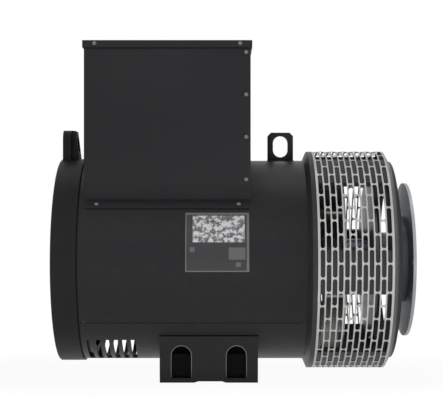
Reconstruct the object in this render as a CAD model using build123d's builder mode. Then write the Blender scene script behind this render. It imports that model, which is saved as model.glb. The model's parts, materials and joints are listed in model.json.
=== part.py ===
"""Single-bearing brushless generator alternator head.

Frame: X runs along the shaft and points out of the drive end, Z is up and Y completes the set.
The origin is the centre of the drive-end flange's mounting face. All sizes are millimetres.
"nde" is the non-drive end of a piece and "de" the drive end.
"""
from build123d import *
import os
from math import acos, cos, degrees, radians, sin, sqrt

os.makedirs("parts", exist_ok=True)

# ---------------------------------------------------------------- driving dimensions
hairline = 0.3  # gap at each end of the fan screen
fit_gap = 0.3  # clearance between pieces that slip into one another
hole_gap = 0.25  # radial clearance of a bolt or screw in its hole
shaft_height = 265.0  # axis above the floor

# stator frame: a rolled steel shell with a welded ring inside each end
frame_radius = 228.0
frame_wall = 6.0
frame_nde = -695.0
frame_de = -200.0
end_ring_bore = 200.0
end_ring_thick = 15.0
spigot_seat = 8.0  # depth of both spigots in the shell
seam_angle = 35.0  # below the horizontal, each side
seam_depth = 1.2
seam_width = 3.0
vent_count = 6
vent_first = -678.0
vent_pitch = 19.4
vent_width = 10.8
vent_from = 49.0  # below the horizontal
vent_to = 86.0

# stator core and windings
core_nde = -480.0
core_de = -260.0
core_radius = 190.0
core_bore = 133.0
core_rib_count = 8
core_rib_width = 26.0
core_slot_count = 24
core_slot_width = 10.0
core_slot_depth = 30.0
winding_inner = 142.0
winding_outer = 182.0
winding_overhang = 45.0
winding_round = 10.0

# drive-end bracket, cast in one with its flange
bracket_step = 21.0  # how far the bracket and screen stand proud of the shell
bracket_slope = 9.0
bracket_web = 13.0
bracket_bore = 200.0
bracket_rim_end = -181.0
arm_count = 6
arm_phase = 4.5
arm_angle = 22.0
arm_thick = 12.0
flange_radius = 226.0
flange_rim_back = -26.0
flange_rim = -17.5
flange_land = 5.0
flange_bore = 186.0
flange_bolt_circle = 428.6
flange_hole_count = 12
flange_hole_radius = 5.5
spigot_radius = 204.8
spigot_length = 5.0

# fan screen, rolled from slotted sheet
screen_wall = 1.5
screen_columns = 12
screen_slots_round = 25
screen_pitch = 13.0
screen_slot_width = 9.0
screen_bridge = 4.2
clasp_nde = -166.0
clasp_length = 134.0
clasp_height = 14.0
clasp_thick = 3.0
clasp_gap = 4.0
clasp_screw_count = 3
clasp_screw_pitch = 48.0
clasp_screw_radius = 2.5

# disc coupling, 11.5 inch
disc_face = 39.6
disc_radius = 176.2
disc_sheets = 3
disc_sheet_thick = 2.3
disc_bolt_circle = 333.4
disc_hole_count = 8
disc_hole_radius = 5.5
hub_flange_radius = 98.0
hub_flange_thick = 16.0
hub_radius = 62.0
hub_length = 66.0
hub_web_radius = 182.0
hub_web_thick = 5.0
hub_bolt_circle = 172.0
hub_bolt_count = 10
hub_bolt_radius = 5.0
clamp_ring_bore = 52.0
clamp_ring_thick = 6.0

# shaft
bearing_seat_radius = 32.5
exciter_seat_radius = 40.0
core_seat_radius = 47.5
coupling_seat_radius = 42.5
shaft_nde = -730.0
exciter_seat_end = -606.0
coupling_seat_start = -62.0

# rear shield, the non-drive end
shield_radius = 232.0
shield_nde = -753.0
shield_groove = 3.0
shield_groove_radius = 225.0
shield_rim_bore = 222.0
shield_web = 14.0
shield_web_bore = 196.0
spoke_count = 6
spoke_width = 24.0
spoke_depth = 24.0
shield_hub_radius = 88.0
shield_hub_mouth = 62.0
bearing_shoulder = 14.0
cover_thick = 2.5
cover_step = 4.0
cover_boss_radius = 9.0
cover_boss_circle = 180.0
cover_screw_radius = 3.0
cover_screw_length = 20.0
louvre_count = 30
louvre_inner = 108.0
louvre_outer = 162.0
louvre_width = 8.0
cap_radius = 92.0
cap_depth = 4.0

# deep-groove ball bearing, 65 x 140 x 33
bearing_nde = -722.0
bearing_radius = 70.0
bearing_width = 33.0
ball_radius = 12.0
ball_count = 8
ball_circle = 51.25
race_shoulder = 9.0
race_gap = 0.08
pocket_gap = 0.2
cage_half_thick = 2.8
cage_half_width = 14.5
lock_ring_thick = 4.0
lock_ring_radius = 41.0
bearing_cap_thick = 3.0
bearing_cap_bore = 46.0

# exciter and rotating rectifier
exciter_nde = -672.0
exciter_length = 52.0
exciter_radius = 150.0
exciter_bore = 106.0
exciter_air_gap = 0.8
exciter_poles = 12
exciter_slot_width = 12.0
exciter_slot_depth = 26.0
exciter_coil_inner = 110.0
exciter_coil_outer = 131.0
exciter_coil_overhang = 6.0
exciter_post_radius = 7.0
exciter_post_circle = 142.0
armature_coil_inner = 62.0
armature_coil_outer = 98.0
rectifier_nde = -602.0
rectifier_radius = 100.0
rectifier_thick = 6.0
diode_count = 6
diode_circle = 76.0
diode_radius = 9.0
diode_height = 12.0

# rotor
air_gap = 1.6
pole_count = 4
pole_body_width = 80.0
pole_gap_width = 54.0
pole_shoe_depth = 24.0
rotor_hub_radius = 58.0
coil_side = 20.0
coil_gap = 0.4
coil_overhang = 24.0

# fan
fan_nde = -163.0
fan_de = -117.0
fan_clearance = 13.5  # to the arms of the bracket
fan_eye = 120.0
fan_plate = 6.0
fan_blades = 15
fan_blade_thick = 5.0
fan_blade_sweep = 28.0
fan_hub_radius = 74.0
fan_hub_length = 48.0

# feet
foot_nde = -521.5
foot_length = 215.5
foot_plane = 162.0
foot_wall = 8.0
foot_bend = 27.0
foot_lean = 5.0
foot_base = 8.0
foot_inner = 92.0
foot_end_wall = 6.0
foot_window_width = 45.0
foot_window_top = 82.0
foot_window_sill = 10.0
foot_hole_nde = -474.0
foot_hole_pitch = 120.6
foot_hole_radius = 9.0
foot_hole_line = 128.0
foot_relief = 3.0
foot_relief_nde = -446.0
foot_relief_length = 70.0
foot_relief_ramp = 9.0

# lifting lugs
lug_nde = -279.5
lug_length = 59.0
lug_top = 293.0
lug_chamfer = 13.0
lug_thick = 14.0
lug_eye_width = 34.0
lug_eye_height = 49.0
lug_eye_centre = 260.5
cast_lug_nde = -749.0
cast_lug_plate = 19.0
cast_lug_width = 78.0
cast_lug_top = 297.0
cast_lug_eye_radius = 17.0
cast_lug_eye_height = 264.0
cast_rib_top = 9.0
cast_rib_foot = 18.0
cast_rib_width = 56.0

# terminal box
box_nde = -683.0
box_de = -323.0
box_half_depth = 204.0  # outside of the front and rear panels
panel_thick = 2.0
box_wall = 2.0
panel_foot = 168.0
panel_top = 462.5
skirt_foot = 184.0
skirt_flange_angle = 5.5
skirt_flange_set_in = 3.0
skirt_flange_lap = 1.2
skirt_flange_thick = 2.5
window_border = 18.0
lid_top = 480.0
lid_rim = 464.5
lid_wall = 2.0
lid_gap = 1.5
gasket_thick = 2.0
gasket_width = 9.0
screw_head_radius = 4.6
screw_head = 2.6
screw_shank = 2.5
screw_length = 8.0
screw_inset = 10.0
panel_screw_top = 454.5
panel_screw_pitch = 91.5
panel_screw_rows = 4
lid_screw_height = 473.0
lid_screw_shank = 2.0
lid_screw_inset = 23.0
skirt_screw_inset = 26.0
gland_length = 220.0
gland_height = 110.0
gland_thick = 3.0
gland_height_centre = 292.0
gland_border = 12.0

# terminal board and regulator, inside the box
lead_opening_length = 150.0
lead_opening_width = 90.0
lead_opening_nde = -648.0
board_nde = -478.0
board_length = 140.0
board_width = 96.0
board_thick = 12.0
board_height = 256.0
standoff_radius = 7.0
standoff_inset = 13.0
stud_radius = 5.0
stud_height = 34.0
nut_radius = 9.0
nut_height = 8.0
studs_in_row = 4
stud_pitch = 32.0
stud_row_pitch = 44.0
regulator_length = 150.0
regulator_height = 110.0
regulator_thick = 34.0
regulator_clearance = 13.0  # over the studs
pillar_length = 8.0
pillar_inset = 14.0
trimmer_count = 4
trimmer_radius = 4.0
trimmer_height = 3.0
trimmer_pitch = 18.0

# rating label
label_nde = -463.7
label_length = 137.0
label_low = -4.6
label_high = 28.2
label_thick = 0.5
label_bond = 0.2  # thickness of the adhesive under it

# bolts that hold the shield and the bracket to the frame
tie_bolt_count = 8
tie_bolt_circle = 211.0
tie_bolt_radius = 5.0
tie_bolt_phase = 22.5

# ---------------------------------------------------------------- worked out from them
frame_bore = frame_radius - frame_wall
frame_length = frame_de - frame_nde
floor = -shaft_height
nde_ring = frame_nde + spigot_seat
de_ring = frame_de - spigot_seat
spigot_fit = frame_bore - fit_gap
core_length = core_de - core_nde
bracket_radius = frame_radius + bracket_step
seat_radius = bracket_radius - screen_wall
arm_inner = seat_radius - arm_thick
fan_radius = arm_inner - fan_clearance
web_de = frame_de + bracket_web
screen_middle = (flange_rim + bracket_rim_end) / 2
screen_slot_length = 2 * bracket_radius * sin(radians(180 / screen_slots_round)) - screen_bridge
hub_face = disc_face - disc_sheets * disc_sheet_thick
hub_back = hub_face - hub_flange_thick
hub_nde = hub_back - hub_length
pole_radius = core_bore - air_gap
shield_de = frame_nde - shield_groove
web_nde = shield_de - shield_web
cover_inner = shield_nde + cover_thick
bearing_de = bearing_nde + bearing_width
bearing_middle = (bearing_nde + bearing_de) / 2
exciter_de = exciter_nde + exciter_length
armature_radius = exciter_bore - exciter_air_gap
box_length = box_de - box_nde
box_middle = (box_nde + box_de) / 2
wall_plane = box_half_depth - panel_thick
lid_underside = lid_top - lid_wall
wall_top = lid_underside - gasket_thick
skirt_angle = degrees(acos(skirt_foot / frame_radius))
skirt_foot_height = frame_radius * sin(radians(skirt_angle))
lid_half_depth = box_half_depth + lid_gap + lid_wall
lid_nde = box_nde - lid_gap - lid_wall
lid_length = box_length + 2 * (lid_gap + lid_wall)
panel_screw_heights = [panel_screw_top - panel_screw_pitch * i for i in range(panel_screw_rows)]
panel_screw_de = box_de - screw_inset
rectifier_de = rectifier_nde + rectifier_thick
coil_half_width = pole_body_width / 2 + coil_side
coil_inner = coil_half_width + coil_gap
coil_outer = sqrt((pole_radius - pole_shoe_depth) ** 2 - coil_half_width**2) - coil_gap


# ---------------------------------------------------------------- helpers
def save(solid, name):
    """Label a finished piece and write its STEP file."""
    solid.label = name
    export_step(solid, f"parts/{name}.step")


def outward(x, angle, radius=0.0):
    """A plane that faces away from the shaft at this angle, turned from +Y towards +Z."""
    out = (0, cos(radians(angle)), sin(radians(angle)))
    return Plane(origin=(x, radius * out[1], radius * out[2]), x_dir=(1, 0, 0), z_dir=out)


def half_plane(angle):
    """The plane through the shaft's axis at this angle: its own x is X and its own y is the radius."""
    return Plane(origin=(0, 0, 0), x_dir=(1, 0, 0), z_dir=(0, -sin(radians(angle)), cos(radians(angle))))


def turned(points, mode=Mode.ADD):
    """Revolve a closed (x, radius) outline about the shaft's axis inside the open part."""
    with BuildSketch(Plane.XZ) as outline:
        with BuildLine():
            Polyline(*points, close=True)
        make_face()
    revolve(outline.sketch, axis=Axis.X, mode=mode)


def ring(x_from, x_to, outer, inner, mode=Mode.ADD):
    """A plain ring about the shaft's axis."""
    turned([(x_from, inner), (x_to, inner), (x_to, outer), (x_from, outer)], mode)


def arc_blocks(x_from, x_to, outer, inner, start, sweep, mode=Mode.ADD):
    """Part of a ring, from the angle start through sweep degrees."""
    with BuildSketch(half_plane(start)) as outline:
        with BuildLine():
            Polyline((x_from, inner), (x_to, inner), (x_to, outer), (x_from, outer), close=True)
        make_face()
    revolve(outline.sketch, axis=Axis.X, revolution_arc=sweep, mode=mode)


def drilled(x_from, x_to, circle, count, hole_radius, phase=0.0):
    """Round holes along X on a circle about the shaft's axis, cut from the open part."""
    with BuildSketch(Plane.YZ.offset(x_from)) as holes:
        with PolarLocations(circle, count, start_angle=phase):
            Circle(hole_radius)
    extrude(holes.sketch, amount=x_to - x_from, mode=Mode.SUBTRACT)


def rods(x_from, x_to, circle, count, radius, phase=0.0):
    """Round rods along X on a circle about the shaft's axis."""
    with BuildSketch(Plane.YZ.offset(x_from)) as ends:
        with PolarLocations(circle, count, start_angle=phase):
            Circle(radius)
    extrude(ends.sketch, amount=x_to - x_from)


def axial_bolts(name, seat, side, circle, count, shank, length, phase=0.0):
    """Hexagon bolts along X on a circle. Heads stand off the seat towards side, -1 or +1."""
    with BuildPart() as bolts:
        with BuildSketch(Plane.YZ.offset(seat)):
            with PolarLocations(circle, count, start_angle=phase):
                RegularPolygon(1.75 * shank, 6)
        extrude(amount=side * 1.3 * shank)
        rods(seat, seat - side * length, circle, count, shank, phase)
    save(bolts.part, name)


def panel_screws(name, places, side, seat):
    """Pan-head screws through an upright side of the box; side is -1 at the front, +1 at the back."""
    with BuildPart() as screws:
        with BuildSketch(Plane.XZ.offset(-side * seat)):
            with Locations(*places):
                Circle(screw_head_radius)
        extrude(amount=-side * screw_head)
        with BuildSketch(Plane.XZ.offset(-side * seat)):
            with Locations(*places):
                Circle(screw_shank)
        extrude(amount=side * screw_length)
    save(screws.part, name)


def side_holes(places, side, seat, radius):
    """Holes along Y for those screws, cut from the open part."""
    with BuildSketch(Plane.XZ.offset(-side * (seat + 1))) as holes:
        with Locations(*places):
            Circle(radius)
    extrude(holes.sketch, amount=side * 14, mode=Mode.SUBTRACT)


# ---------------------------------------------------------------- stator frame
skirt_screw_angle = skirt_angle - skirt_flange_angle / 2
skirt_screw_angles = (skirt_screw_angle, 180 - skirt_screw_angle)
skirt_screw_places = (box_nde + skirt_screw_inset, box_de - skirt_screw_inset)
clearance_hole = screw_shank + hole_gap

with BuildPart() as frame:
    ring(frame_nde, frame_de, frame_radius, frame_bore)
    ring(nde_ring, nde_ring + end_ring_thick, frame_bore, end_ring_bore)
    ring(de_ring - end_ring_thick, de_ring, frame_bore, end_ring_bore)
    drilled(nde_ring, nde_ring + end_ring_thick, tie_bolt_circle, tie_bolt_count,
            tie_bolt_radius + hole_gap, tie_bolt_phase)
    drilled(de_ring - end_ring_thick, de_ring, tie_bolt_circle, tie_bolt_count,
            tie_bolt_radius + hole_gap, tie_bolt_phase)
    # the weld seam between the upper sheet and the lower one, along each side
    with BuildSketch(Plane.YZ.offset(frame_nde)):
        for side in (180 + seam_angle, 360 - seam_angle):
            with PolarLocations(frame_radius, 1, start_angle=side):
                Rectangle(2 * seam_depth, seam_width)
    extrude(amount=frame_length, mode=Mode.SUBTRACT)
    # cooling air slots under the non-drive end, each side of the bottom
    for i in range(vent_count):
        vent_nde = vent_first + vent_pitch * i - vent_width / 2
        for start in (180 + vent_from, 360 - vent_to):
            arc_blocks(vent_nde, vent_nde + vent_width, frame_radius + frame_wall,
                       frame_bore - frame_wall, start, vent_to - vent_from, Mode.SUBTRACT)
    # the stator leads come up into the terminal box here
    with BuildSketch(Plane.XY.offset(frame_bore - 2 * frame_wall)):
        with Locations((lead_opening_nde + lead_opening_length / 2, 0)):
            Rectangle(lead_opening_length, lead_opening_width)
    extrude(amount=4 * frame_wall, mode=Mode.SUBTRACT)
    # tapped holes for the terminal box's skirt screws
    for angle in skirt_screw_angles:
        for x in skirt_screw_places:
            with BuildSketch(outward(x, angle, frame_bore - frame_wall)):
                Circle(clearance_hole)
            extrude(amount=3 * frame_wall, mode=Mode.SUBTRACT)
save(frame.part, "stator_frame")


# ---------------------------------------------------------------- feet
def foot(name, side):
    """A bent plate foot, closed at both ends, with arched windows to reach its bolts."""
    toe = foot_plane - foot_lean
    knee = floor + foot_bend
    with BuildPart() as piece:
        # the bent plate: upright, leaning in below the knee, then turned in as the base
        with BuildSketch(Plane.YZ.offset(foot_nde)):
            with BuildLine():
                Polyline(
                    (side * foot_plane, 0), (side * foot_plane, knee), (side * toe, floor),
                    (side * foot_inner, floor), (side * foot_inner, floor + foot_base),
                    (side * (toe - foot_wall), floor + foot_base),
                    (side * (foot_plane - foot_wall), knee), (side * (foot_plane - foot_wall), 0),
                    close=True,
                )
            make_face()
        extrude(amount=foot_length)
        # the end walls
        for x in (foot_nde, foot_nde + foot_length - foot_end_wall):
            with BuildSketch(Plane.YZ.offset(x)):
                with BuildLine():
                    Polyline(
                        (side * foot_plane, 0), (side * foot_plane, knee), (side * toe, floor),
                        (side * foot_inner, floor), (side * foot_inner, 0), close=True,
                    )
                make_face()
            extrude(amount=foot_end_wall)
        ring(foot_nde - 1, foot_nde + foot_length + 1, frame_radius, 0, Mode.SUBTRACT)
        for i in range(2):
            x = foot_hole_nde + foot_hole_pitch * i
            arch = foot_window_width / 2
            sill = floor + foot_window_sill
            spring = floor + foot_window_top - arch
            with BuildSketch(Plane.XZ.offset(-side * (foot_plane - 2 * foot_wall))):
                with Locations((x, (sill + spring) / 2)):
                    Rectangle(foot_window_width, spring - sill)
                with Locations((x, spring)):
                    Circle(arch)
            extrude(amount=-side * 4 * foot_wall, mode=Mode.SUBTRACT)
            with BuildSketch(Plane.XY.offset(floor)):
                with Locations((x, side * foot_hole_line)):
                    Circle(foot_hole_radius)
            extrude(amount=2 * foot_base, mode=Mode.SUBTRACT)
        # the base is relieved between its two pads
        with BuildSketch(Plane.XZ.offset(-side * foot_plane)):
            with BuildLine():
                Polyline(
                    (foot_relief_nde, floor), (foot_relief_nde + foot_relief_ramp, floor + foot_relief),
                    (foot_relief_nde + foot_relief_length - foot_relief_ramp, floor + foot_relief),
                    (foot_relief_nde + foot_relief_length, floor), close=True,
                )
            make_face()
        extrude(amount=side * foot_plane, mode=Mode.SUBTRACT)
    save(piece.part, name)


foot("foot_front", -1)
foot("foot_rear", 1)

# ---------------------------------------------------------------- lifting lug on the frame
lug_middle = lug_nde + lug_length / 2
with BuildPart() as lug:
    with BuildSketch(Plane.XZ.offset(-lug_thick / 2)):
        with BuildLine():
            Polyline(
                (lug_nde, 0), (lug_nde + lug_length, 0), (lug_nde + lug_length, lug_top - 2 * lug_chamfer),
                (lug_nde + lug_length - lug_chamfer, lug_top), (lug_nde + lug_chamfer, lug_top),
                (lug_nde, lug_top - 2 * lug_chamfer), close=True,
            )
        make_face()
        with Locations((lug_middle, lug_eye_centre)):
            SlotOverall(lug_eye_height, lug_eye_width, rotation=90, mode=Mode.SUBTRACT)
    extrude(amount=lug_thick)
    ring(lug_nde - 1, lug_nde + lug_length + 1, frame_radius, 0, Mode.SUBTRACT)
save(lug.part, "lifting_lug")

# ---------------------------------------------------------------- rear shield
with BuildPart() as shield:
    turned([
        (shield_nde, shield_rim_bore + cover_step), (shield_nde, shield_radius), (shield_de, shield_radius),
        (shield_de, shield_groove_radius), (frame_nde, shield_groove_radius), (frame_nde, spigot_fit),
        (nde_ring, spigot_fit), (nde_ring, shield_web_bore), (web_nde, shield_web_bore),
        (web_nde, shield_rim_bore),
        (cover_inner, shield_rim_bore), (cover_inner, shield_rim_bore + cover_step),
    ])
    chamfer(shield.edges().filter_by(GeomType.CIRCLE).group_by(Axis.X)[0].sort_by(SortBy.RADIUS)[-1], 2)
    # spokes, the bosses that carry the cover and the posts that carry the exciter
    with BuildSketch(Plane.YZ.offset(web_nde)):
        with PolarLocations(shield_web_bore / 2 + 3, spoke_count):
            Rectangle(shield_web_bore, spoke_width)
    extrude(amount=spoke_depth)
    rods(cover_inner, web_nde, cover_boss_circle, spoke_count, cover_boss_radius)
    rods(web_nde + spoke_depth, exciter_nde, exciter_post_circle, spoke_count, exciter_post_radius)
    # hub with the bearing's seat and shoulder
    ring(bearing_nde - bearing_shoulder, bearing_de + bearing_cap_thick, shield_hub_radius, 0)
    ring(bearing_nde - bearing_shoulder, bearing_nde, shield_hub_mouth, 0, Mode.SUBTRACT)
    ring(bearing_nde, bearing_de + bearing_cap_thick, bearing_radius, 0, Mode.SUBTRACT)
    drilled(web_nde - 1, nde_ring, tie_bolt_circle, tie_bolt_count, tie_bolt_radius + hole_gap, tie_bolt_phase)
    drilled(cover_inner, web_nde + 8, cover_boss_circle, spoke_count, cover_screw_radius + hole_gap)
    # cast lifting lug: a plate across the shaft with a narrower rib behind it
    with BuildSketch(Plane.YZ.offset(cast_lug_nde)):
        with Locations((0, (cast_lug_top + shield_rim_bore) / 2)):
            RectangleRounded(cast_lug_width, cast_lug_top - shield_rim_bore, 22)
        with Locations((0, shield_rim_bore + 12)):
            Rectangle(cast_lug_width, 24)
    extrude(amount=cast_lug_plate)
    with BuildSketch(Plane.XZ.offset(-cast_rib_width / 2)):
        with BuildLine():
            rib_nde = cast_lug_nde + cast_lug_plate
            Polyline(
                (rib_nde, shield_rim_bore), (rib_nde, cast_lug_top - 1), (rib_nde + cast_rib_top, cast_lug_top - 1),
                (rib_nde + cast_rib_foot, shield_rim_bore), close=True,
            )
        make_face()
    extrude(amount=cast_rib_width)
    ring(shield_nde, web_nde, shield_rim_bore, shield_rim_bore - 20, Mode.SUBTRACT)
    with BuildSketch(Plane.YZ.offset(cast_lug_nde - 1)):
        with Locations((0, cast_lug_eye_height)):
            Circle(cast_lug_eye_radius)
    extrude(amount=60, mode=Mode.SUBTRACT)
save(shield.part, "rear_shield")

with BuildPart() as cover:
    ring(shield_nde, cover_inner, shield_rim_bore + cover_step - fit_gap, 0)
    with BuildSketch(Plane.YZ.offset(shield_nde)):
        with PolarLocations((louvre_inner + louvre_outer) / 2, louvre_count, start_angle=180 / louvre_count):
            Rectangle(louvre_outer - louvre_inner, louvre_width)
    extrude(amount=cover_thick, mode=Mode.SUBTRACT)
    drilled(shield_nde, cover_inner, cover_boss_circle, spoke_count, cover_screw_radius + hole_gap)
save(cover.part, "rear_cover")

with BuildPart() as cap:
    ring(shield_nde - cap_depth, shield_nde, cap_radius, 0)
    fillet(cap.edges().group_by(Axis.X)[0], cap_depth / 2)
save(cap.part, "rear_cap")

axial_bolts("rear_cover_screws", shield_nde, -1, cover_boss_circle, spoke_count, cover_screw_radius,
            cover_screw_length)
axial_bolts("rear_shield_bolts", web_nde, -1, tie_bolt_circle, tie_bolt_count, tie_bolt_radius,
            nde_ring + end_ring_thick - web_nde - 3, tie_bolt_phase)

# ---------------------------------------------------------------- bearing
with BuildPart() as outer_race:
    ring(bearing_nde, bearing_de, bearing_radius, ball_circle + race_shoulder)
    with BuildSketch(Plane.XZ):
        with Locations((bearing_middle, ball_circle)):
            Circle(ball_radius + race_gap)
    revolve(axis=Axis.X, mode=Mode.SUBTRACT)
save(outer_race.part, "bearing_outer_race")

with BuildPart() as inner_race:
    ring(bearing_nde, bearing_de, ball_circle - race_shoulder, bearing_seat_radius)
    with BuildSketch(Plane.XZ):
        with Locations((bearing_middle, ball_circle)):
            Circle(ball_radius + race_gap)
    revolve(axis=Axis.X, mode=Mode.SUBTRACT)
save(inner_race.part, "bearing_inner_race")

with BuildPart() as balls:
    for i in range(ball_count):
        angle = radians(360 / ball_count * i)
        with Locations((bearing_middle, ball_circle * cos(angle), ball_circle * sin(angle))):
            Sphere(ball_radius)
save(balls.part, "bearing_balls")

with BuildPart() as cage:
    ring(bearing_middle - cage_half_width, bearing_middle + cage_half_width,
         ball_circle + cage_half_thick, ball_circle - cage_half_thick)
    for i in range(ball_count):
        with BuildSketch(outward(bearing_middle, 360 / ball_count * i)):
            Circle(ball_radius + pocket_gap)
        extrude(amount=bearing_radius, mode=Mode.SUBTRACT)
save(cage.part, "bearing_cage")

with BuildPart() as bearing_cap:
    ring(bearing_de, bearing_de + bearing_cap_thick, bearing_radius, bearing_cap_bore)
save(bearing_cap.part, "bearing_retainer")

with BuildPart() as lock_ring:
    ring(bearing_nde - lock_ring_thick, bearing_nde, lock_ring_radius, bearing_seat_radius)
save(lock_ring.part, "bearing_lock_ring")

# ---------------------------------------------------------------- exciter and rectifier
with BuildPart() as exciter_stator:
    with BuildSketch(Plane.YZ.offset(exciter_nde)):
        Circle(exciter_radius)
        Circle(exciter_bore, mode=Mode.SUBTRACT)
        with PolarLocations(exciter_bore + exciter_slot_depth / 2 - 2, exciter_poles):
            Rectangle(exciter_slot_depth, exciter_slot_width, mode=Mode.SUBTRACT)
    extrude(amount=exciter_length)
save(exciter_stator.part, "exciter_stator")

with BuildPart() as exciter_coils:
    ring(exciter_de, exciter_de + exciter_coil_overhang, exciter_coil_outer, exciter_coil_inner)
    ring(exciter_nde - exciter_coil_overhang, exciter_nde, exciter_coil_outer, exciter_coil_inner)
save(exciter_coils.part, "exciter_field_coils")

with BuildPart() as armature:
    ring(exciter_nde, exciter_de, armature_radius, exciter_seat_radius)
save(armature.part, "exciter_armature")

with BuildPart() as armature_coils:
    ring(exciter_de, exciter_de + exciter_coil_overhang, armature_coil_outer, armature_coil_inner)
    ring(exciter_nde - exciter_coil_overhang, exciter_nde, armature_coil_outer, armature_coil_inner)
save(armature_coils.part, "exciter_armature_winding")

with BuildPart() as rectifier:
    ring(rectifier_nde, rectifier_de, rectifier_radius, core_seat_radius)
save(rectifier.part, "rectifier_plate")

with BuildPart() as diodes:
    rods(rectifier_de, rectifier_de + diode_height, diode_circle, diode_count, diode_radius)
save(diodes.part, "rectifier_diodes")

# ---------------------------------------------------------------- stator core and windings
with BuildPart() as core:
    with BuildSketch(Plane.YZ.offset(core_nde)):
        Circle(core_radius)
        with PolarLocations((core_radius + frame_bore) / 2 - 4, core_rib_count, start_angle=tie_bolt_phase):
            Rectangle(frame_bore - core_radius + 8, core_rib_width)
        Circle(core_bore, mode=Mode.SUBTRACT)
        with PolarLocations(core_bore + core_slot_depth / 2 - 2, core_slot_count):
            Rectangle(core_slot_depth + 4, core_slot_width, mode=Mode.SUBTRACT)
    extrude(amount=core_length)
    ring(core_nde - 1, core_de + 1, frame_radius + 20, frame_bore, Mode.SUBTRACT)
save(core.part, "stator_core")


def end_winding(name, face, side):
    """The end turns of the stator winding, a rounded ring against one face of the core."""
    far = face + side * winding_overhang
    near_round = far - side * winding_round
    with BuildPart() as turns:
        turned([
            (face, winding_inner), (near_round, winding_inner), (far, winding_inner + winding_round),
            (far, winding_outer - winding_round), (near_round, winding_outer), (face, winding_outer),
        ])
    save(turns.part, name)


end_winding("stator_winding_nde", core_nde, -1)
end_winding("stator_winding_de", core_de, 1)

# ---------------------------------------------------------------- rotor
with BuildPart() as shaft:
    turned([
        (shaft_nde, 0), (shaft_nde, bearing_seat_radius - 1), (shaft_nde + 1, bearing_seat_radius),
        (bearing_de, bearing_seat_radius), (bearing_de, exciter_seat_radius),
        (exciter_seat_end, exciter_seat_radius), (exciter_seat_end, core_seat_radius),
        (coupling_seat_start, core_seat_radius), (coupling_seat_start, coupling_seat_radius),
        (hub_face, coupling_seat_radius), (hub_face, 0),
    ])
save(shaft.part, "shaft")

with BuildPart() as rotor_core:
    with BuildSketch(Plane.YZ.offset(core_nde)):
        Circle(pole_radius)
        Circle(pole_radius - pole_shoe_depth, mode=Mode.SUBTRACT)
        with PolarLocations(pole_radius - pole_shoe_depth / 2, pole_count, start_angle=180 / pole_count):
            Rectangle(3 * pole_shoe_depth, pole_gap_width, mode=Mode.SUBTRACT)
        Rectangle(2 * pole_radius - pole_shoe_depth, pole_body_width)
        Rectangle(pole_body_width, 2 * pole_radius - pole_shoe_depth)
        Circle(rotor_hub_radius)
        Circle(core_seat_radius, mode=Mode.SUBTRACT)
    extrude(amount=core_length)
save(rotor_core.part, "rotor_core")

with BuildPart() as coils:
    for i in range(pole_count):
        with BuildSketch(outward((core_nde + core_de) / 2, 360 / pole_count * i, coil_inner)):
            Rectangle(core_length + 2 * coil_overhang, 2 * coil_half_width)
            Rectangle(core_length + 2 * coil_gap, pole_body_width + 2 * coil_gap, mode=Mode.SUBTRACT)
        extrude(amount=coil_outer - coil_inner)
save(coils.part, "rotor_field_coils")

# ---------------------------------------------------------------- fan
with BuildPart() as fan:
    turned([
        (fan_de, core_seat_radius), (fan_de, fan_radius), (fan_de - fan_plate, fan_radius),
        (fan_de - fan_plate, fan_hub_radius + 14), (fan_de - fan_hub_length, fan_hub_radius),
        (fan_de - fan_hub_length, core_seat_radius),
    ])
    with BuildSketch(Plane.YZ.offset(fan_nde)):
        with PolarLocations((fan_eye + fan_radius) / 2, fan_blades):
            Rectangle((fan_radius - fan_eye) / cos(radians(fan_blade_sweep)), fan_blade_thick,
                      rotation=fan_blade_sweep)
    extrude(amount=fan_de - fan_nde - fan_plate / 2)
    ring(fan_nde - 1, fan_de + 1, fan_radius + 60, fan_radius, Mode.SUBTRACT)
save(fan.part, "fan")

# ---------------------------------------------------------------- disc coupling
with BuildPart() as hub:
    turned([
        (hub_nde, coupling_seat_radius), (hub_nde, hub_web_radius),
        (hub_nde + hub_web_thick, hub_web_radius), (hub_nde + hub_web_thick, hub_radius),
        (hub_back, hub_radius), (hub_back, hub_flange_radius),
        (hub_face, hub_flange_radius), (hub_face, coupling_seat_radius),
    ])
    drilled(hub_back, hub_face, hub_bolt_circle / 2, hub_bolt_count, hub_bolt_radius + hole_gap)
save(hub.part, "coupling_hub")

for i in range(disc_sheets):
    with BuildPart() as disc:
        near = hub_face + i * disc_sheet_thick
        ring(near, near + disc_sheet_thick, disc_radius, clamp_ring_bore)
        drilled(near, near + disc_sheet_thick, hub_bolt_circle / 2, hub_bolt_count, hub_bolt_radius + hole_gap)
        drilled(near, near + disc_sheet_thick, disc_bolt_circle / 2, disc_hole_count, disc_hole_radius)
    save(disc.part, f"coupling_disc_{i + 1}")

with BuildPart() as clamp_ring:
    ring(disc_face, disc_face + clamp_ring_thick, hub_flange_radius, clamp_ring_bore)
    drilled(disc_face, disc_face + clamp_ring_thick, hub_bolt_circle / 2, hub_bolt_count,
            hub_bolt_radius + hole_gap)
save(clamp_ring.part, "coupling_clamp_ring")

axial_bolts("coupling_bolts", hub_back, -1, hub_bolt_circle / 2, hub_bolt_count, hub_bolt_radius,
            disc_face + clamp_ring_thick - hub_back)

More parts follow.
